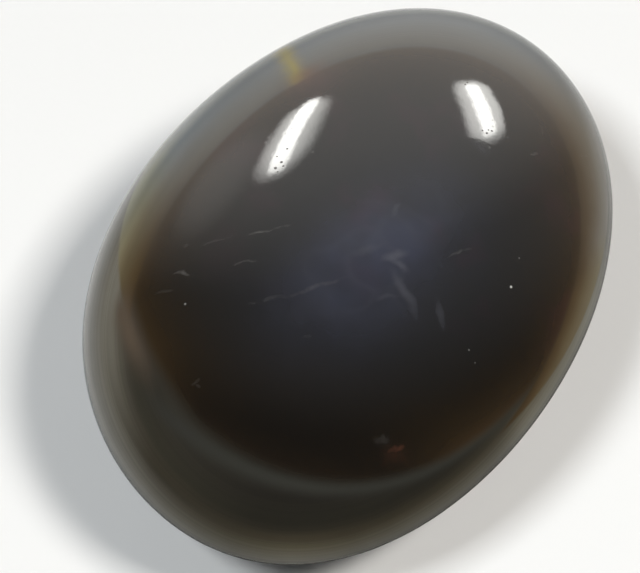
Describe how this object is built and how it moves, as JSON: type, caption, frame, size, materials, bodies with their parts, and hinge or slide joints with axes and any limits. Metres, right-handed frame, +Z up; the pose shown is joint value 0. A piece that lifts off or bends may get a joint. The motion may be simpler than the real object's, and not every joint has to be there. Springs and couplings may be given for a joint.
{
  "type": "polished banded agate",
  "caption": "Polished banded agate pebble with a dark cap over a milky ring and fine bands, resting on a small flat spot.",
  "frame": {"origin": "in the plane of the flat spot that the stone rests on, below the middle of the stone's box", "axes": "+X along the stone's long axis, +Y along its width, +Z up from the surface it rests on"},
  "size_m": [0.026, 0.019, 0.0122],
  "materials": {
    "polished_agate": "polished, glossy, banded: near-black brown cap, milky grey ring, thin pale line, grey-brown band and pale grey rim"
  },
  "bodies": {
    "root": {"agate": "polished_agate"}
  },
  "joints": []
}
